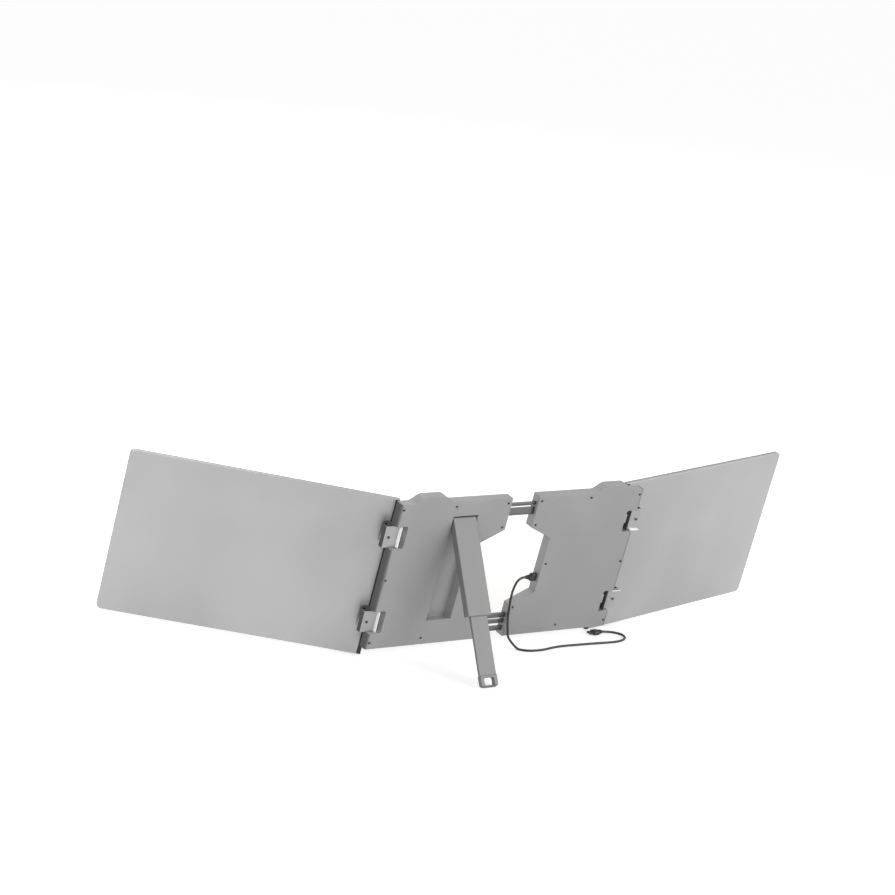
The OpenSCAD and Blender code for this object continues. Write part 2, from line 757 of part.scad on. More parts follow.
// A plug along X: relief, body and tongue, with the cable's end at the origin
module plug() {
  rotate([0, 90, 0]) cylinder(r1 = cordRadius + 0.3, r2 = plugThick / 2 - 0.2, h = relief + eps);
  translate([relief, 0, 0]) rotate([0, 90, 0]) rotate([0, 0, 90]) linear_extrude(plugLong)
    roundPlate(-plugWide / 2, plugWide / 2, -plugThick / 2, plugThick / 2, 2.2);
  span([relief + plugLong - eps, -4, -1.15], [relief + plugLong + tongue, 4, 1.15]);
}
module near_plug() color(dark) plate() flip()
  translate([plugEnd, -6.2, portHeight]) rotate([90, 0, 0]) plug();
module far_plug() color(dark) {
  tip = cordPath[len(cordPath) - 1];
  translate([tip[0], tip[1], plugThick / 2]) plug();
}

left_tray();
left_back();
left_pads();
left_screws();
left_guides();
left_board();
port_shell();
left_bracket_upper();
left_bracket_lower();
left_hinge_pins();
left_clip_pins();
right_tray();
right_back();
right_pads();
right_screws();
right_rail_mounts();
top_rails();
bottom_rails();
right_board();
right_bracket_upper();
right_bracket_lower();
right_hinge_pins();
right_clip_pins();
leg_pin();
leg();
leg_bar();
right_cover();
right_bezel();
right_display();
right_backlight();
right_driver();
right_leaf_upper();
right_leaf_lower();
right_leaf_screws();
left_cover();
left_bezel();
left_display();
left_backlight();
left_driver();
left_leaf_upper();
left_leaf_lower();
left_leaf_screws();
right_clip_upper();
right_clip_lower();
left_clip_upper();
left_clip_lower();
cord();
near_plug();
far_plug();
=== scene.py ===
import json
import math
import random
import bmesh
import bpy
from mathutils import Matrix, Vector

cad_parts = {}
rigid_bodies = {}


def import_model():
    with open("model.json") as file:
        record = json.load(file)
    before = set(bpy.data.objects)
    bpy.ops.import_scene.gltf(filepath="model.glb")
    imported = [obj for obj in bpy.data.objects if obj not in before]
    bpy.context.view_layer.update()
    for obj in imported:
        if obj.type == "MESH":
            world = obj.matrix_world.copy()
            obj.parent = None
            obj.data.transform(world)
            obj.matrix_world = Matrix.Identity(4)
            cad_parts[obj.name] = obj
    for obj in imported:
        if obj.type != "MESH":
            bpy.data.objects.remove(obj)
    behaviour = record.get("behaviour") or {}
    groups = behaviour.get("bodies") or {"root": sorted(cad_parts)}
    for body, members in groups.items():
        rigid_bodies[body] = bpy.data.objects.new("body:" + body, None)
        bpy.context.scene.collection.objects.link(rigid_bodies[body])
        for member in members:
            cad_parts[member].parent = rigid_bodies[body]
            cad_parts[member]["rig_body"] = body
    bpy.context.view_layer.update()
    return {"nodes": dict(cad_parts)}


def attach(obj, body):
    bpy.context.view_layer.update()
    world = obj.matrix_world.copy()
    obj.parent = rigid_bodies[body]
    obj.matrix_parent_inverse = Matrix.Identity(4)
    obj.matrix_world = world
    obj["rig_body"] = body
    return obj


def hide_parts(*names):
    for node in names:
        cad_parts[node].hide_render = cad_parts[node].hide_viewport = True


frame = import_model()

nodes = frame["nodes"]
mm = 0.001

# ---- where things stand: plate coordinates are millimetres on the leaning centre frame ----
rest = {
    "lean": 9.0,  # frame leans back this far
    "shift": (18.642176, 30.833442, 13.584475),  # plate origin in the row frame
    "axisReach": 175.5,  # middle to hinge axis
    "axisDepth": {"right": 17.25, "left": 23.25},
    "turn": {"right": 30.0, "left": 10.5},
    "drop": {"right": 16.5, "left": 17.151673},
    "legCentre": 87.25, "pivotDepth": 4.7, "pivotHeight": 167.5, "legAngle": 37.431059,
}
camera = {"place": (2.30799, 2.712368, 1.179023), "turn": (74.99483, -8.4985, 143.16704), "lens": 120.7024}


def turned(angle, axis):
    return Matrix.Rotation(math.radians(angle), 4, axis)


toMetres = Matrix.Scale(mm, 4)
onPlate = toMetres @ Matrix.Translation(rest["shift"]) @ turned(-rest["lean"], "X")
mirrorX = Matrix.Diagonal((-1, 1, 1, 1))
side = {"right": Matrix.Identity(4), "left": mirrorX}


def onScreen(which):  # x out from the hinge axis, y to the back, z up
    place = Matrix.Translation((rest["axisReach"], -rest["axisDepth"][which], -rest["drop"][which]))
    return onPlate @ side[which] @ place @ turned(-rest["turn"][which], "Z")


onLeg = (onPlate @ Matrix.Translation((rest["legCentre"], -rest["pivotDepth"], rest["pivotHeight"]))
         @ turned(rest["legAngle"], "X"))


# ---- camera ----
def makeCamera():
    eye = bpy.data.cameras.new("camera")
    eye.lens, eye.sensor_width = camera["lens"], 36.0
    eye.clip_start, eye.clip_end = 0.05, 60.0
    holder = bpy.data.objects.new("camera", eye)
    holder.location = camera["place"]
    holder.rotation_euler = [math.radians(a) for a in camera["turn"]]
    bpy.context.scene.collection.objects.link(holder)
    bpy.context.scene.camera = holder
    print("camera: made")


makeCamera()


# ---- node trees: one wrapper for sockets, one method for nodes ----
class Wire:  # a socket that sums, scales and compares like a number
    def __init__(self, tree, socket):
        self.tree, self.socket = tree, socket

    def maths(self, operation, first, second=0.0):
        return self.tree.node("ShaderNodeMath", {"operation": operation}, {0: first, 1: second})

    def __add__(self, other):
        return self.maths("ADD", self, other)

    def __radd__(self, other):
        return self.maths("ADD", other, self)

    def __sub__(self, other):
        return self.maths("SUBTRACT", self, other)

    def __rsub__(self, other):
        return self.maths("SUBTRACT", other, self)

    def __mul__(self, other):
        return self.maths("MULTIPLY", self, other)

    def __rmul__(self, other):
        return self.maths("MULTIPLY", other, self)

    def __truediv__(self, other):
        return self.maths("DIVIDE", self, other)

    def __rtruediv__(self, other):
        return self.maths("DIVIDE", other, self)

    def __pow__(self, other):
        return self.maths("POWER", self, other)

    def sine(self):
        return self.maths("SINE", self)

    def absolute(self):
        return self.maths("ABSOLUTE", self)

    def most(self, other):
        return self.maths("MAXIMUM", self, other)

    def step(self, low, high):  # smooth rise from 0 at low to 1 at high
        return self.tree.node("ShaderNodeMapRange", {"interpolation_type": "SMOOTHSTEP"},
                              {0: self, 1: low, 2: high, 3: 0.0, 4: 1.0})


class Tree:  # a shader or geometry tree under construction
    def __init__(self, tree):
        self.tree = tree
        self.tree.nodes.clear()

    def node(self, kind, settings=None, inputs=None, out=0):
        made = self.tree.nodes.new(kind)
        for name, value in (settings or {}).items():
            if name == "stops":
                ramp = made.color_ramp
                for place, colour in value[2:]:
                    ramp.elements.new(place)
                for element, (place, colour) in zip(ramp.elements, sorted(value)):
                    element.position, element.color = place, (*colour, 1.0)
            elif name == "blend":
                made.color_ramp.interpolation = value
            else:
                setattr(made, name, value)
        for key, value in (inputs or {}).items():
            if isinstance(value, Wire):
                self.tree.links.new(value.socket, made.inputs[key])
            else:
                made.inputs[key].default_value = value
        return Wire(self, made.outputs[out]) if len(made.outputs) else made

    def many(self, kind, settings, inputs, outs):  # several outputs of one node
        first = self.node(kind, settings, inputs)
        return [Wire(self, first.socket.node.outputs[o]) for o in outs]

    def mix(self, factor, first, second, how="MIX"):
        return self.node("ShaderNodeMix", {"data_type": "RGBA", "blend_type": how},
                         {0: factor, 6: first, 7: second}, 2)

    def join(self, shapes):
        node = self.tree.nodes.new("GeometryNodeJoinGeometry")
        for shape in shapes:
            self.tree.links.new(shape.socket, node.inputs[0])
        return Wire(self, node.outputs[0])

    def bump(self, height, strength):
        return self.node("ShaderNodeBump", {}, {"Strength": strength, "Distance": bumpDepth, "Height": height})

    def noise(self, where, scale, detail=2.0, rough=0.5, out=0):
        return self.node("ShaderNodeTexNoise", {}, {"Vector": where, "Scale": scale, "Detail": detail,
                                                    "Roughness": rough}, out)


bumpDepth = 0.0002  # metres


def grey(value):
    return (value, value, value, 1.0)


def tone(value):  # a screen grey of 0 to 255 as a linear colour
    c = value / 255
    return c / 12.92 if c <= 0.04045 else ((c + 0.055) / 1.055) ** 2.4


finishes = {}


def finish(name, build):  # a material from a function that fills the shader's sockets
    material = bpy.data.materials.new(name)
    material.use_nodes = True
    tree = Tree(material.node_tree)
    place = tree.node("ShaderNodeTexCoord", {}, {}, 3)
    sockets = build(tree, place)
    shader = tree.node("ShaderNodeBsdfPrincipled", {}, sockets)
    tree.node("ShaderNodeOutputMaterial", {}, {"Surface": shader})
    finishes[name] = material
    return material


# metals: tone is the screen grey, grain the brushing along an axis, cloud the slow drift of colour
metals = {
    "panelSatin": {"tone": 172, "metal": 0.6, "rough": 0.4, "cloud": 0.08, "cloudScale": 5.0,
                   "stretch": (1, 1, 1), "grain": 0.05, "grainScale": 1400},
    "frameSatin": {"tone": 151, "metal": 0.3, "rough": 0.44, "cloud": 0.05, "cloudScale": 9.0,
                   "stretch": (1, 1, 1), "grain": 0.06, "grainScale": 1500},
    # painted shade: the leg's copy of the frame finish is darker, as the leg faces the sky and would render
    # lighter
    "legSatin": {"tone": 114, "metal": 0.3, "rough": 0.42, "cloud": 0.04, "cloudScale": 12.0,
                 "stretch": (1, 1, 1), "grain": 0.05, "grainScale": 1500},
    "traySatin": {"tone": 151, "metal": 0.3, "rough": 0.44, "cloud": 0.05, "cloudScale": 9.0,
                  # painted shade: the last entry darkens the tray towards its rounded outer edge, where the
                  # barrel turns away from the light
                  "stretch": (1, 1, 1), "grain": 0.06, "grainScale": 1500, "rim": (0.1852, 0.1885, 84)},
    # painted light: a lighter copy of the tray finish for the pocket walls beside the brackets, lifting the
    # shade in the recesses
    "pocketGrey": {"tone": 168, "metal": 0.3, "rough": 0.55, "cloud": 0.08, "cloudScale": 40.0,
                   "stretch": (1, 1, 1), "grain": 0.1, "grainScale": 2200},
    # painted shade: a dark copy of the bracket metal for the bracket's shaded faces
    "bracketShade": {"tone": 84, "metal": 0.6, "rough": 0.42, "cloud": 0.06, "cloudScale": 30.0,
                     "stretch": (1, 1, 9), "grain": 0.08, "grainScale": 900},
    # painted highlight: a near-white copy for the bracket edges that catch the light
    "bracketEdge": {"tone": 250, "metal": 0.1, "rough": 0.3, "cloud": 0.02, "cloudScale": 30.0,
                    "stretch": (1, 1, 1), "grain": 0.03, "grainScale": 1600},
    "leafMetal": {"tone": 150, "metal": 0.9, "rough": 0.3, "cloud": 0.05, "cloudScale": 30.0,
                  "stretch": (1, 1, 9), "grain": 0.08, "grainScale": 900},
    "bracketMetal": {"tone": 164, "metal": 0.6, "rough": 0.3, "cloud": 0.04, "cloudScale": 20.0,
                     "stretch": (1, 1, 9), "grain": 0.08, "grainScale": 900},
    "railMetal": {"tone": 112, "metal": 0.7, "rough": 0.28, "cloud": 0.03, "cloudScale": 20.0,
                  "stretch": (0.06, 1, 1), "grain": 0.1, "grainScale": 1200},
    "bezelSatin": {"tone": 208, "metal": 0.5, "rough": 0.4, "cloud": 0.03, "cloudScale": 8.0,
                   "stretch": (1, 1, 1), "grain": 0.04, "grainScale": 1600},
    "pinSteel": {"tone": 185, "metal": 1.0, "rough": 0.22, "cloud": 0.03, "cloudScale": 30.0,
                 "stretch": (1, 1, 0.1), "grain": 0.06, "grainScale": 1500},
    "screwSteel": {"tone": 70, "metal": 0.9, "rough": 0.34, "cloud": 0.1, "cloudScale": 200.0,
                   "stretch": (1, 1, 1), "grain": 0.08, "grainScale": 2500},
    "lightGuide": {"tone": 225, "metal": 0.0, "rough": 0.5, "cloud": 0.02, "cloudScale": 10.0,
                   "stretch": (1, 1, 1), "grain": 0.02, "grainScale": 900},
}


def metalFinish(name):
    look = metals[name]

    def build(tree, place):
        base = tone(look["tone"])
        slow = tree.noise(place, look["cloudScale"], 2.0)
        wide = tree.node("ShaderNodeVectorMath", {"operation": "MULTIPLY"},
                         {0: place, 1: tuple(float(v) for v in look["stretch"])})
        fine = tree.noise(wide, look["grainScale"], 2.0, 0.6)
        low, high = base * (1 - look["cloud"]), base * (1 + look["cloud"])
        colour = tree.mix(slow.step(0.3, 0.7), grey(low), (high, high, high * 1.006, 1.0))
        if "rim" in look:  # painted shade: a darker tone towards the rounded outer edge, where the barrel turns away from the light
            start, stop, dark = look["rim"]
            x = tree.node("ShaderNodeSeparateXYZ", {}, {0: place})
            outer = (x - rest["shift"][0] * mm).absolute().step(start, stop)
            colour = tree.mix(outer, colour, grey(tone(dark)))
        rough = (look["rough"] - 0.05) + slow * 0.06 + fine * 0.06
        return {"Base Color": colour, "Metallic": look["metal"], "Roughness": rough,
                "Normal": tree.bump(fine, look["grain"])}

    return finish(name, build)


# plastics and rubber
plastics = {
    "guidePlastic": {"colour": (0.03, 0.031, 0.033), "rough": 0.5, "speckle": 0.3,
                    "scale": 1500, "bump": 0.12},
    "padRubber": {"colour": (0.05, 0.05, 0.052), "rough": 0.72, "speckle": 0.35,
                 "scale": 2200, "bump": 0.2},
    "cableBlack": {"colour": (0.012, 0.012, 0.013), "rough": 0.3, "speckle": 0.2,
                  "scale": 900, "bump": 0.06},
    "plugBlack": {"colour": (0.02, 0.02, 0.021), "rough": 0.42, "speckle": 0.25,
                 "scale": 1800, "bump": 0.1},
    "gasketBlack": {"colour": (0.016, 0.016, 0.017), "rough": 0.6, "speckle": 0.2,
                   "scale": 1500, "bump": 0.1},
}


def plasticFinish(name):
    look = plastics[name]

    def build(tree, place):
        dust = tree.noise(place, look["scale"], 3.0, 0.6)
        slow = tree.noise(place, 30.0, 2.0)
        dark = (*[c * (1 - look["speckle"]) for c in look["colour"]], 1.0)
        light = (*[c * (1 + look["speckle"]) for c in look["colour"]], 1.0)
        return {"Base Color": tree.mix(dust.step(0.35, 0.65), dark, light),
                "Roughness": (look["rough"] - 0.05) + slow * 0.1, "Normal": tree.bump(dust, look["bump"])}

    return finish(name, build)


def boardFinish():
    def build(tree, place):
        cells = tree.node("ShaderNodeTexVoronoi", {"distance": "CHEBYCHEV"},
                          {"Vector": place, "Scale": 320.0})
        tracks = tree.node("ShaderNodeTexWave", {"bands_direction": "DIAGONAL"},
                           {"Vector": place, "Scale": 140.0, "Distortion": 2.0}, 1)
        green = tree.mix(tracks.step(0.55, 0.75), (0.008, 0.06, 0.025, 1), (0.02, 0.12, 0.05, 1))
        pads = 1 - cells.step(0.1, 0.2)
        return {"Base Color": tree.mix(pads, green, (0.5, 0.36, 0.12, 1)), "Metallic": pads * 0.8,
                "Roughness": 0.5 - pads * 0.2}

    return finish("boardGreen", build)


# the picture on the screens: warm corner to cool corner, crossed by soft folded ribbons
picture = {
    "stops": [(0.0, (0.55, 0.004, 0.003)), (1.0, (0.003, 0.03, 0.5)), (0.14, (0.75, 0.02, 0.005)),
              (0.26, (0.9, 0.2, 0.01)), (0.38, (0.9, 0.62, 0.06)), (0.5, (0.35, 0.62, 0.06)),
              (0.62, (0.01, 0.38, 0.09)), (0.76, (0.0, 0.36, 0.3)), (0.88, (0.002, 0.14, 0.6))],
    "ribbons": 7, "seed": 11, "strength": 1.0, "marginU": (0.006, 0.001), "marginV": (0.0102, 0.002),
}


def pictureFinish(name, seed):
    draw = random.Random(picture["seed"] + seed)

    def build(tree, place):
        uv = tree.node("ShaderNodeUVMap", {"uv_map": "glass"}, {})
        u, v = tree.many("ShaderNodeSeparateXYZ", {}, {0: uv}, (0, 1))
        drift = tree.noise(uv, 1.6, 1.0)
        across = u * 0.72 + v * 0.5 + (v * 4.0 + seed).sine() * 0.06 + (drift - 0.5) * 0.35
        colour = tree.node("ShaderNodeValToRGB", {"stops": picture["stops"], "blend": "EASE"},
                           {0: across - 0.1})
        for k in range(picture["ribbons"]):
            tilt, wave = draw.uniform(-0.5, 0.5), draw.uniform(2.2, 4.5)
            rise, phase = draw.uniform(-0.1, 1.0), draw.uniform(0, 6.28)
            wide = draw.uniform(0.1, 0.22)
            path = v - (u - 0.5) * tilt - (u * wave + phase).sine() * 0.12 - rise
            inside = path.step(0.0, 0.012) * (1 - path.step(wide * 0.4, wide))
            shift = tree.node("ShaderNodeValToRGB", {"stops": picture["stops"], "blend": "EASE"},
                              {0: across + draw.uniform(-0.16, 0.1)})
            lit = tree.mix(path.step(0.0, wide), shift, (1.0, 1.0, 0.9, 1.0), "SOFT_LIGHT")
            colour = tree.mix(inside * 0.8, colour, lit)
            edge = path.step(-0.05, 0.0) * (1 - path.step(0.0, 0.004))
            colour = tree.mix(edge * 0.35, colour, (0.0, 0.01, 0.03, 1.0))
        shown = 1.0
        for along, (edge, soft) in ((u, picture["marginU"]), (v, picture["marginV"])):
            shown = shown * along.step(edge, edge + soft) * (1 - along.step(1 - edge - soft, 1 - edge))
        return {"Base Color": (0.004, 0.004, 0.005, 1.0), "Roughness": 0.16,
                "Emission Color": tree.mix(shown, (0, 0, 0, 1), colour),
                "Emission Strength": picture["strength"]}

    return finish(name, build)


for key in metals:
    metalFinish(key)
for key in plastics:
    plasticFinish(key)
boardFinish()
pictureFinish("pictureRight", 0)
pictureFinish("pictureLeft", 3)
print("finishes:", len(finishes))


# ---- cord first, on its route ----
cordRoute = {
    "radius": 1.5, "steps": 12, "portHeight": 77.75, "rise": 1.4,
    "plate": [(-39.3, -6.2, 1), (-34, -6.1, 0.9962), (-27, -5, 0.949), (-21, -2, 0.828),
              (-17.8, 1.5, 0.6879), (-17.6, 3.6, 0.535), (-19.5, 4, 0.3567), (-24, 4.2, 0.1529),
              (-29, 5.5, -0.0127)],
    "ground": [(-36, 18, 0), (-46, 26, 0), (-66, 28, 0), (-100, 23, 0), (-150, 25, 0), (-190, 27, 0),
               (-210, 19, 0), (-215, 6, 0), (-208, -4, 0), (-199, -6.5, 0.4), (-192, -6.5, 1)],
}


def cordPoints():
    route = cordRoute
    knots = [onPlate @ Vector((x, y, z * route["portHeight"])) for x, y, z in route["plate"]]
    east, north = rest["shift"][:2]
    knots += [Vector((x + east, y + north, route["radius"] + up * route["rise"])) * mm
              for x, y, up in route["ground"]]
    line = []
    for i in range(len(knots) - 1):
        a, b = knots[max(0, i - 1)], knots[i]
        c, d = knots[i + 1], knots[min(len(knots) - 1, i + 2)]
        for k in range(route["steps"]):
            t = k / route["steps"]
            line.append(0.5 * (2 * b + (c - a) * t + (2 * a - 5 * b + 4 * c - d) * t ** 2
                               + (3 * b - a - 3 * c + d) * t ** 3))
    low = route["radius"] * mm
    return [Vector((p.x, p.y, max(p.z, low))) for p in [*line, knots[-1]]]


def makeCord():
    line = cordPoints()
    curve = bpy.data.curves.new("cable", "CURVE")
    curve.dimensions, curve.bevel_depth, curve.bevel_resolution = "3D", cordRoute["radius"] * mm, 5
    spline = curve.splines.new("POLY")
    spline.points.add(len(line) - 1)
    for point, place in zip(spline.points, line):
        point.co = (*place, 1.0)
    spline.use_smooth = True
    curve.materials.append(finishes["cableBlack"])
    cable = bpy.data.objects.new("cable", curve)
    bpy.context.scene.collection.objects.link(cable)
    length = sum((b - a).length for a, b in zip(line, line[1:]))
    print("cord: length", round(length, 4))
    return cable, line, length


cable, cableLine, cableLength = makeCord()


# ---- softened copies of the frame's nodes ----
def addObject(name, mesh):
    made = bpy.data.objects.new(name, mesh)
    bpy.context.scene.collection.objects.link(made)
    return made


def asMesh(holder, name):  # evaluated result as a plain mesh, in place of its maker
    bpy.context.view_layer.update()
    graph = bpy.context.evaluated_depsgraph_get()
    mesh = bpy.data.meshes.new_from_object(holder.evaluated_get(graph))
    mesh.name = name
    old = holder.data
    bpy.data.objects.remove(holder)
    if old.users == 0:
        bpy.data.batch_remove([old])
    return addObject(name, mesh)


softEdges = {"angle": 32, "segments": 2, "merge": 0.000002, "flat": 0.6, "balance": 60}


def looseCopy(node):  # a CAD node's mesh with whole faces and no stored normals
    mesh = nodes[node].data.copy()
    for layer in [a for a in mesh.attributes if a.name in ("custom_normal", "sharp_face")]:
        mesh.attributes.remove(layer)
    work = bmesh.new()
    work.from_mesh(mesh)
    bpy.data.meshes.remove(mesh)
    bmesh.ops.remove_doubles(work, verts=work.verts, dist=softEdges["merge"])
    bmesh.ops.dissolve_limit(work, angle_limit=math.radians(softEdges["flat"]), verts=work.verts,
                             edges=work.edges, delimit={"NORMAL"})
    return work


def settle(piece, body, slotName, *replaced):
    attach(piece, body)
    if replaced:
        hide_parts(*replaced)
    return piece


def softCopy(node, name, width, looks, slotName, trim=None):
    work = looseCopy(node)
    if trim:
        trim(work)
    layers = work.edges.layers.float
    weights = layers.get("bevel_weight_edge") or layers.new("bevel_weight_edge")
    for edge in work.edges:
        sharp = len(edge.link_faces) == 2 and edge.calc_face_angle(0.0) > math.radians(softEdges["angle"])
        edge[weights] = 0.0 if not sharp else (edge[weights] or 1.0)
    for face in work.faces:
        face.smooth = True
    mesh = bpy.data.meshes.new(name + "Raw")
    work.to_mesh(mesh)
    work.free()
    for look in looks:
        mesh.materials.append(finishes[look])
    holder = addObject(name + "Raw", mesh)
    bevel = holder.modifiers.new("edges", "BEVEL")
    bevel.width, bevel.segments, bevel.limit_method = width * mm, softEdges["segments"], "WEIGHT"
    bevel.use_clamp_overlap = False
    even = holder.modifiers.new("even", "WEIGHTED_NORMAL")
    even.weight = softEdges["balance"]
    return settle(asMesh(holder, name), nodes[node]["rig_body"], slotName, node)


# ---- parts of a copy that get another finish or a wider edge ----
marks = {
    "seam": -0.9, "rimReach": 3.0, "wide": 322.0, "tall": 209.0, "gap": 3.5, "innerEdge": 0.35,  # screens
    "hinges": (150.0, 36.25), "notchIn": 171.0, "notchHalf": 14.8,  # frame
    "bracketIn": 178.5, "bracketOut": 199.5, "ledge": -6.0, "sheet": 1.2, "flange": 4.0, "turnUp": 0.9,
    "slack": 0.1,
}


def trimScreen(which, depth):  # faces in front of the seam turn black, and the back's rim is rounder
    place = onScreen(which)
    inward = place.inverted()

    def run(work):
        bmesh.ops.bisect_plane(work, geom=work.verts[:] + work.edges[:] + work.faces[:], dist=1e-7,
                               plane_co=place @ Vector((0, marks["seam"], 0)),
                               plane_no=place.to_3x3() @ Vector((0, 1, 0)))
        for face in work.faces:
            spot = inward @ face.calc_center_median()
            across = abs((inward.to_3x3() @ face.normal).normalized().y)
            reach = spot.x - marks["gap"]
            near = min(reach, marks["wide"] - reach, spot.z, marks["tall"] - spot.z)
            if spot.y < marks["seam"] and across < 0.5 and near < marks["rimReach"]:
                face.material_index = 1
        weights = work.edges.layers.float.new("bevel_weight_edge")
        for edge in work.edges:
            ends = [inward @ v.co for v in edge.verts]
            edge[weights] = 1.0 if min(e.y for e in ends) > depth else marks["innerEdge"]
    return run


def trimBracket(which):  # painted shade on the outer wall, the parts under the plate and the flange's shaded side; painted highlight on the edges that catch the light
    inward = (onPlate @ side[which]).inverted()

    def run(work):
        for face in work.faces:
            spot = inward @ face.calc_center_median()
            across = (inward.to_3x3() @ face.normal).normalized().x
            under = spot.y < marks["ledge"] - 2 * marks["slack"]
            # painted shade under the plate and on the outer wall
            if under or spot.x > marks["bracketOut"] - marks["slack"]:
                face.material_index = 1
            elif spot.y > marks["ledge"] + marks["sheet"] + marks["turnUp"]:
                # painted highlight on the faces that catch the light, painted shade on the rest
                lit = across > -0.5 if which == "right" else spot.x > marks["bracketIn"] + marks["flange"]
                face.material_index = 2 if lit else 1
    return run


def trimTray(which):  # the pockets beside the brackets get a lighter copy of the tray finish: painted light in the recesses
    inward = (onPlate @ side[which]).inverted()

    def run(work):
        for face in work.faces:
            spot = inward @ face.calc_center_median()
            inside = any(abs(spot.z - h) < marks["notchHalf"] + marks["slack"] for h in marks["hinges"])
            if inside and spot.x > marks["notchIn"] - marks["slack"]:
                face.material_index = 1
    return run


# piece ending, edge width in mm, finishes, slot; what a screen's trim needs is the depth of its rounder rim
edgeWidths = {"cover": 1.0, "bezel": 0.3, "tray": 0.4, "back": 0.3, "bracket": 0.25, "leaf": 0.15, "clip": 0.4}
rimDepth = {"cover": 2.0, "bezel": -9.0}
softened = {
    # the leg and its bar take the darker copy of the frame finish: painted shade
    "leg": ("kickstandLeg", 0.6, ["legSatin"], "frame_paint"),
    "leg_bar": ("kickstandBar", 0.45, ["legSatin"], "frame_paint"),
    "near_plug": ("portPlug", 0.4, ["plugBlack"], "cable_plastic"),
    "far_plug": ("farPlug", 0.4, ["plugBlack"], "cable_plastic"),
}
for half in ("right", "left"):
    softened[half + "_cover"] = (half + "ScreenCover", edgeWidths["cover"], ["panelSatin", "gasketBlack"],
                                 "screen_paint", trimScreen(half, rimDepth["cover"]))
    softened[half + "_bezel"] = (half + "Bezel", edgeWidths["bezel"], ["bezelSatin", "gasketBlack"],
                                 "bezel_paint", trimScreen(half, rimDepth["bezel"]))
    softened[half + "_tray"] = (half + "Tray", edgeWidths["tray"], ["traySatin", "pocketGrey"],
                                "frame_paint", trimTray(half))
    softened[half + "_back"] = (half + "BackPlate", edgeWidths["back"], ["frameSatin"], "frame_paint")
    for place in ("upper", "lower"):
        title = place.title()
        softened[f"{half}_bracket_{place}"] = (
            f"{half}Bracket{title}", edgeWidths["bracket"], ["bracketMetal", "bracketShade", "bracketEdge"],
            "frame_light", trimBracket(half))
        softened[f"{half}_leaf_{place}"] = (f"{half}Leaf{title}", edgeWidths["leaf"], ["leafMetal"], "steel")
        softened[f"{half}_clip_{place}"] = (f"{half}Clip{title}", edgeWidths["clip"], ["frameSatin"],
                                            "frame_light")

made = {node: softCopy(node, *spec) for node, spec in softened.items()}
print("softened copies:", len(made))


# ---- the nodes that keep their CAD shape ----
kept = {
    "pinSteel": ["port_shell", "left_hinge_pins", "left_clip_pins", "right_hinge_pins", "right_clip_pins",
                 "leg_pin"],
    "railMetal": ["top_rails", "bottom_rails"],
    "guidePlastic": ["left_guides", "right_rail_mounts"],
    "padRubber": ["left_pads", "right_pads"],
    "boardGreen": ["left_board", "right_board", "right_driver", "left_driver"],
    "lightGuide": ["right_backlight", "left_backlight"],
}
for look, names in kept.items():
    for node in names:
        mesh = nodes[node].data
        mesh.materials.clear()
        mesh.materials.append(finishes[look])
print("kept nodes: painted")


# ---- what repeats: trees with named sizes, grown on points ----
def growTree(name, sizes):  # sizes: {input name: default}
    group = bpy.data.node_groups.new(name, "GeometryNodeTree")
    group.interface.new_socket("Geometry", in_out="INPUT", socket_type="NodeSocketGeometry")
    for size, value in sizes.items():
        kind = "NodeSocketInt" if isinstance(value, int) else "NodeSocketFloat"
        group.interface.new_socket(size, in_out="INPUT", socket_type=kind).default_value = value
    group.interface.new_socket("Geometry", in_out="OUTPUT", socket_type="NodeSocketGeometry")
    tree = Tree(group)
    names = ["Geometry", *sizes]
    return group, tree, dict(zip(names, tree.many("NodeGroupInput", {}, {}, names)))


def closeTree(tree, shape, look):
    solid = tree.node("GeometryNodeRealizeInstances", {}, {0: shape})
    painted = tree.node("GeometryNodeSetMaterial", {}, {0: solid, "Material": finishes[look]})
    tree.node("NodeGroupOutput", {}, {0: painted})


def grow(name, points, place, group, body, slotName, *replaced, edges=(), **sizes):
    mesh = bpy.data.meshes.new(name + "Points")
    mesh.from_pydata(points, list(edges), [])
    holder = addObject(name + "Points", mesh)
    maker = holder.modifiers.new("grow", "NODES")
    maker.node_group = group
    for item in group.interface.items_tree:
        if item.in_out == "INPUT" and item.name in sizes:
            maker[item.identifier] = sizes[item.name]
    piece = asMesh(holder, name)
    piece.data.transform(place)
    return settle(piece, body, slotName, *replaced)


def screwTree():  # round heads with a cross recess, each turned its own way, on a plain shank
    group, tree, size = growTree("crossScrews", {"Head": 1.8, "Rise": 0.65, "Shank": 0.95, "Deep": 6.5,
                                                 "Cross": 0.5, "Sink": 0.4, "Seed": 5})
    head = tree.node("GeometryNodeMeshCylinder", {}, {
        "Vertices": 28, "Radius": size["Head"], "Depth": size["Rise"]})
    bars = []
    for turn in (0, 1):
        wide = [size["Head"] * 1.35, size["Cross"]][::-1 if turn else 1]
        extent = tree.node("ShaderNodeCombineXYZ", {}, {0: wide[0], 1: wide[1], 2: size["Sink"] * 2})
        bar = tree.node("GeometryNodeMeshCube", {}, {"Size": extent})
        bars.append(tree.node("GeometryNodeTransform", {}, {
            0: bar, "Translation": tree.node("ShaderNodeCombineXYZ", {}, {2: size["Rise"] / 2})}))
    cross = tree.join(bars)
    cutHead = tree.node("GeometryNodeMeshBoolean", {"operation": "DIFFERENCE"}, {0: head, 1: cross})
    shank = tree.node("GeometryNodeMeshCylinder", {}, {
        "Vertices": 16, "Radius": size["Shank"], "Depth": size["Deep"]})
    down = tree.node("ShaderNodeCombineXYZ", {}, {2: (size["Deep"] + size["Rise"]) * -0.5})
    shank = tree.node("GeometryNodeTransform", {}, {0: shank, "Translation": down})
    turn = tree.node("FunctionNodeRandomValue", {"data_type": "FLOAT_VECTOR"}, {
        0: (-math.pi / 2, 0, 0), 1: (-math.pi / 2, math.pi, 0), "Seed": size["Seed"]})
    spread = tree.node("GeometryNodeInstanceOnPoints", {}, {
        0: size["Geometry"], "Instance": tree.join([cutHead, shank]), "Rotation": turn})
    closeTree(tree, spread, "screwSteel")
    return group


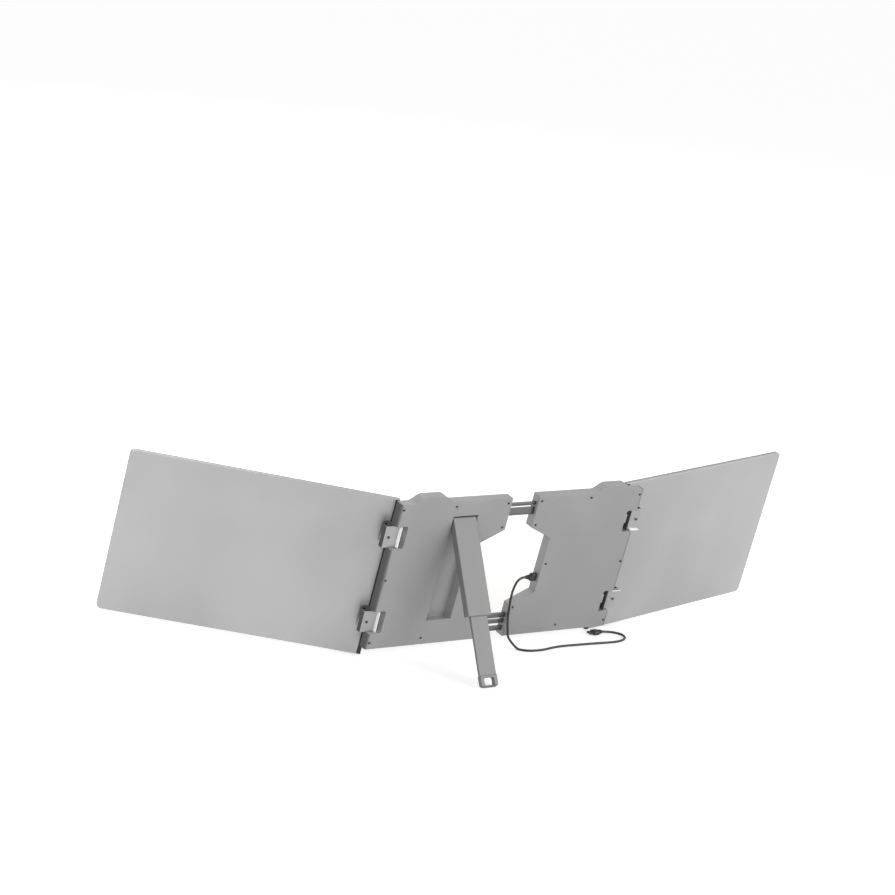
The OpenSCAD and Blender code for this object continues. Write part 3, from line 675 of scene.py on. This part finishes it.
def ringTree():  # rings around a cable that grow along it, as on a strain relief
    group, tree, size = growTree("reliefRings", {"Ring": 1.9, "Wire": 0.35, "Growth": 0.1})
    circle = tree.node("GeometryNodeCurvePrimitiveCircle", {}, {"Resolution": 24, "Radius": size["Ring"]})
    profile = tree.node("GeometryNodeCurvePrimitiveCircle", {}, {"Resolution": 8, "Radius": size["Wire"]})
    ring = tree.node("GeometryNodeCurveToMesh", {}, {0: circle, "Profile Curve": profile})
    grown = 1 + tree.node("GeometryNodeInputIndex") * size["Growth"]
    scale = tree.node("ShaderNodeCombineXYZ", {}, {0: grown, 1: grown, 2: 1.0})
    spread = tree.node("GeometryNodeInstanceOnPoints", {}, {
        0: size["Geometry"], "Instance": ring, "Rotation": (0, math.pi / 2, 0), "Scale": scale})
    closeTree(tree, spread, "plugBlack")
    return group


def ribTree(name, look):  # low half-round ribs along the drawn lines
    group, tree, size = growTree(name, {"Rib": 0.4, "Flat": 0.6})
    line = tree.node("GeometryNodeMeshToCurve", {}, {0: size["Geometry"]})
    profile = tree.node("GeometryNodeCurvePrimitiveCircle", {}, {"Resolution": 10, "Radius": size["Rib"]})
    rib = tree.node("GeometryNodeCurveToMesh", {}, {0: line, "Profile Curve": profile, "Fill Caps": True})
    closeTree(tree, rib, look)
    return group


screws = {
    "rise": 0.65, "top": -0.15, "edge": 183.9, "low": 8.6, "high": 186.9, "mid": 97.0,
    "inner": 26.0, "corner": (26.4, 57.3), "topMiddle": 105.0, "lowMiddle": {"right": 107.0, "left": 105.0},
    "edgeDrop": 4.0, "opening": (60.6, 0.8),  # beside the opening, above the middle
    "leaf": {"x": 12.5, "spread": 8.5, "y": 2.75, "head": 1.5, "rise": 0.4},
    "bracket": {"x": 193.5, "y": -4.2, "head": 1.75, "rise": 0.7},
}


def frameScrewSpots(which):
    top, low, mid = screws["high"], screws["low"], screws["mid"]
    cornerX, cornerUp = screws["corner"]
    openX, openUp = screws["opening"]
    spots = [(screws["edge"], top), (screws["topMiddle"], top), (screws["inner"], top),
             (cornerX, mid + cornerUp), (cornerX, mid - cornerUp), (screws["edge"], mid - screws["edgeDrop"]),
             (openX, mid + openUp), (screws["lowMiddle"][which], low), (screws["edge"], low)]
    return [(x, screws["top"] - screws["rise"] / 2, z) for x, z in spots]


padRows = {"x": (68.0, 148.0), "y": -13.35, "z": (34.0, 141.25), "pitch": 2.4, "count": 4}
relief = {"start": -39.9, "y": -6.2, "pitch": 1.15, "count": 5, "tipGap": 0.8}

crossScrews, reliefRings = screwTree(), ringTree()
padRibs = ribTree("padRibs", "padRubber")
for k, which in enumerate(("right", "left")):
    sign = 1 if which == "right" else -1
    spots = [(sign * x, y, z) for x, y, z in frameScrewSpots(which)]
    grow(which + "FrameScrews", spots, onPlate, crossScrews, which + "_half", "screw_steel",
         which + "_screws", Seed=11 + k)
    small = screws["bracket"]
    spots = [(sign * small["x"], small["y"] + small["rise"] / 2, z) for z in marks["hinges"]]
    grow(which + "BracketScrews", spots, onPlate, crossScrews, which + "_half", "screw_steel",
         Head=small["head"], Rise=small["rise"], Shank=0.7, Deep=0.5, Cross=0.45, Sink=0.35, Seed=21 + k)
    small = screws["leaf"]
    place = onScreen(which)
    spots = [(small["x"], small["y"] - small["rise"] / 2, h + rest["drop"][which] + s)
             for h in marks["hinges"] for s in (-small["spread"], small["spread"])]
    piece = grow(which + "LeafScrews", spots, place, crossScrews, which + "_screen", "screw_steel",
                 which + "_leaf_screws", Head=small["head"], Rise=small["rise"], Shank=0.8, Deep=1.4,
                 Cross=0.4, Sink=0.25, Seed=31 + k)
    if which == "left":  # mirrored placing turns the faces inwards
        piece.data.flip_normals()
    ribs = [(sign * x, padRows["y"], z + padRows["pitch"] * (1 + n)) for z in padRows["z"]
            for n in range(padRows["count"]) for x in padRows["x"]]
    grow(which + "PadRibs", ribs, onPlate, padRibs, which + "_half", "soft_pad",
         edges=[(i, i + 1) for i in range(0, len(ribs), 2)], Rib=0.35)

portRings = [(relief["start"] - relief["pitch"] * n, relief["y"], cordRoute["portHeight"])
             for n in range(relief["count"])]
farTip = cableLine[-1] / mm
farRings = [(farTip.x + relief["tipGap"] + relief["pitch"] * n, farTip.y, farTip.z)
            for n in range(relief["count"])]
portRelief = grow("portRelief", portRings, onPlate, reliefRings, "left_half", "cable_plastic")
farRelief = grow("farRelief", farRings, toMetres, reliefRings, "left_half", "cable_plastic")
print("repeated details: grown")


# ---- black strip along each screen's hinge side, darkening the gap beside the frame ----
strip = {"reach": 5.0, "proud": 0.22, "leafClear": 13.4, "front": -2.2, "back": 2.75, "end": 0.8}


def makeStrip(which):
    place = onScreen(which)
    gap, back = marks["gap"], strip["back"]
    profile = [(gap - strip["proud"], strip["front"]), (gap - strip["proud"], back - 0.4),
               (gap + 0.25, back + strip["proud"]), (gap + strip["reach"] - 0.4, back + strip["proud"]),
               (gap + strip["reach"], back), (gap + strip["reach"], back - 0.2), (gap + 0.1, back - 0.2),
               (gap + 0.1, strip["front"])]
    work = bmesh.new()
    centres = sorted(h + rest["drop"][which] for h in marks["hinges"])
    low = strip["end"]
    for c in [*centres, None]:
        high = marks["tall"] - strip["end"] if c is None else c - strip["leafClear"]
        rings = [[work.verts.new(place @ Vector((x, y, z))) for x, y in profile] for z in (low, high)]
        for i in range(len(profile)):
            j = (i + 1) % len(profile)
            work.faces.new((rings[0][i], rings[0][j], rings[1][j], rings[1][i]))
        work.faces.new(rings[0][::-1])
        work.faces.new(rings[1])
        low = None if c is None else c + strip["leafClear"]
    bmesh.ops.recalc_face_normals(work, faces=work.faces)
    mesh = bpy.data.meshes.new(which + "HingeStrip")
    work.to_mesh(mesh)
    work.free()
    mesh.materials.append(finishes["gasketBlack"])
    settle(addObject(which + "HingeStrip", mesh), which + "_screen", "soft_pad")


for which in ("right", "left"):
    makeStrip(which)
print("hinge strips: made")


# ---- display glass with the picture ----
glass = {"x": (8.0, 321.0), "z": (21.0, 204.5)}


def makeDisplay(which):
    (x0, x1), (z0, z1) = glass["x"], glass["z"]
    mesh = nodes[which + "_display"].data.copy()
    place = onScreen(which).inverted()
    layer = mesh.uv_layers.new(name="glass")
    for loop in mesh.loops:
        spot = place @ mesh.vertices[loop.vertex_index].co
        layer.data[loop.index].uv = ((spot.x - x0) / (x1 - x0), (spot.z - z0) / (z1 - z0))
    for old in [u for u in mesh.uv_layers if u.name != "glass"]:
        mesh.uv_layers.remove(old)
    mesh.materials.clear()
    mesh.materials.append(finishes["picture" + which.title()])
    settle(addObject(which + "DisplayGlass", mesh), which + "_screen", "screen_glass", which + "_display")


for which in ("right", "left"):
    makeDisplay(which)
print("displays: made")

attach(cable, "left_half")
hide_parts("cord")


# ---- floor, world and lamps ----
studio = {
    "floor": 0.82, "floorSize": 60.0, "lift": 0.43, "world": 0.55,
    "sun": {"from": (-0.5, 0.8, 0.42), "power": 0.9, "spread": 30},
    "lamps": [  # name, place, aim, width, height, watts
        ("leftSide", (-1.6, 1.0, 0.9), (-0.47, 0, 0.1), 1.0, 0.8, 6),
        ("rightSide", (1.7, 1.1, 0.9), (0.47, 0, 0.1), 1.0, 0.8, 15),
        ("front", (-0.6, -2.6, 1.9), (0, 0, 0.1), 2.2, 1.4, 26),
    ],
}


def seenRays(tree):  # 1 where the camera, a mirror or a clear piece looks
    rays = tree.many("ShaderNodeLightPath", {}, {}, (0, 3, 6))
    return rays[0].most(rays[1]).most(rays[2])


def hang(name, lamp, place, facing):
    holder = bpy.data.objects.new(name, lamp)
    holder.location, holder.rotation_euler = place, facing.to_euler()
    bpy.context.scene.collection.objects.link(holder)


def makeStudio():
    world = bpy.data.worlds.new("studio")
    world.use_nodes = True
    bpy.context.scene.world = world
    tree = Tree(world.node_tree)
    plain = tree.node("ShaderNodeBackground", {}, {"Color": grey(1.0), "Strength": studio["world"]})
    white = tree.node("ShaderNodeBackground", {}, {"Color": grey(1.0), "Strength": 1.0})
    both = tree.node("ShaderNodeMixShader", {}, {0: seenRays(tree), 1: plain, 2: white})
    tree.node("ShaderNodeOutputWorld", {}, {"Surface": both})

    material = bpy.data.materials.new("floor")
    material.use_nodes = True
    tree = Tree(material.node_tree)
    matt = tree.node("ShaderNodeBsdfDiffuse", {}, {"Color": grey(studio["floor"])})
    lift = tree.node("ShaderNodeEmission", {}, {
        "Color": grey(1.0), "Strength": seenRays(tree) * studio["lift"]})
    both = tree.node("ShaderNodeAddShader", {}, {0: matt, 1: lift})
    tree.node("ShaderNodeOutputMaterial", {}, {"Surface": both})
    half = studio["floorSize"] / 2
    mesh = bpy.data.meshes.new("floor")
    corners = [(-half, -half, 0), (half, -half, 0), (half, half, 0), (-half, half, 0)]
    mesh.from_pydata(corners, [], [(0, 1, 2, 3)])
    mesh.materials.append(material)
    addObject("floor", mesh)

    sun = bpy.data.lights.new("sun", "SUN")
    sun.energy, sun.angle = studio["sun"]["power"], math.radians(studio["sun"]["spread"])
    hang("sun", sun, (0, 0, 0), Vector(studio["sun"]["from"]).to_track_quat("Z", "Y"))
    for name, place, aim, wide, tall, watts in studio["lamps"]:
        lamp = bpy.data.lights.new(name, "AREA")
        lamp.shape, lamp.size, lamp.size_y, lamp.energy = "RECTANGLE", wide, tall, watts
        hang(name, lamp, place, (Vector(aim) - Vector(place)).to_track_quat("-Z", "Y"))
    bpy.context.scene.view_settings.view_transform = "Standard"
    print("studio: lit")


makeStudio()
